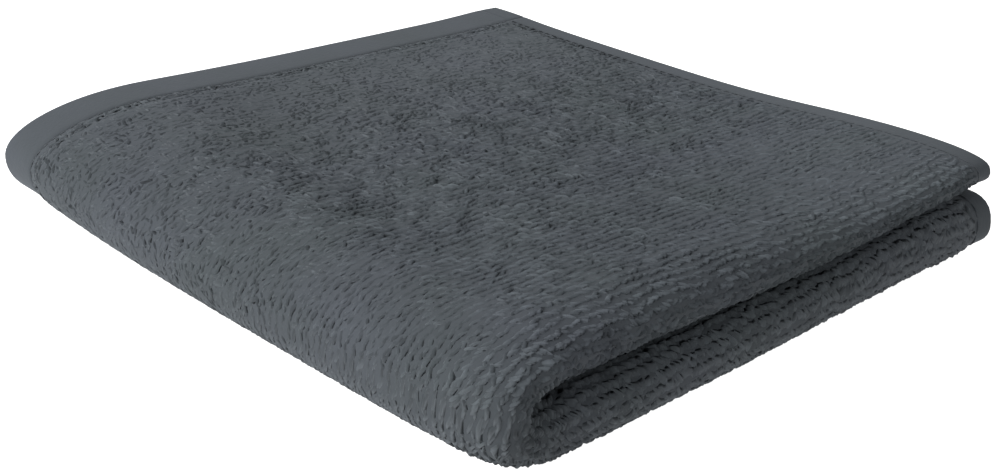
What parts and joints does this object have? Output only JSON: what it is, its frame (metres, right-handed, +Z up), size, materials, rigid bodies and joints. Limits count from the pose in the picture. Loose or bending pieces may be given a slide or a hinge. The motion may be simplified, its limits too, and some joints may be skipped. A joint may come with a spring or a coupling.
{
  "type": "folded washcloth",
  "caption": "Square terry washcloth folded in half and in half again, with rolled folds on two sides and open flat hems on the other two.",
  "frame": {"origin": "middle of the outline seen from above, on the surface that the cloth lies on", "axes": "+Z up, +X towards the first fold, whose two rolls run along Y, and -Y towards the second fold, which runs along X and wraps round all the layers"},
  "size_m": [0.1518, 0.1502, 0.025],
  "materials": {
    "terry": "matt looped cotton pile with flat woven hems"
  },
  "bodies": {
    "root": {"washcloth": "terry"}
  },
  "joints": []
}
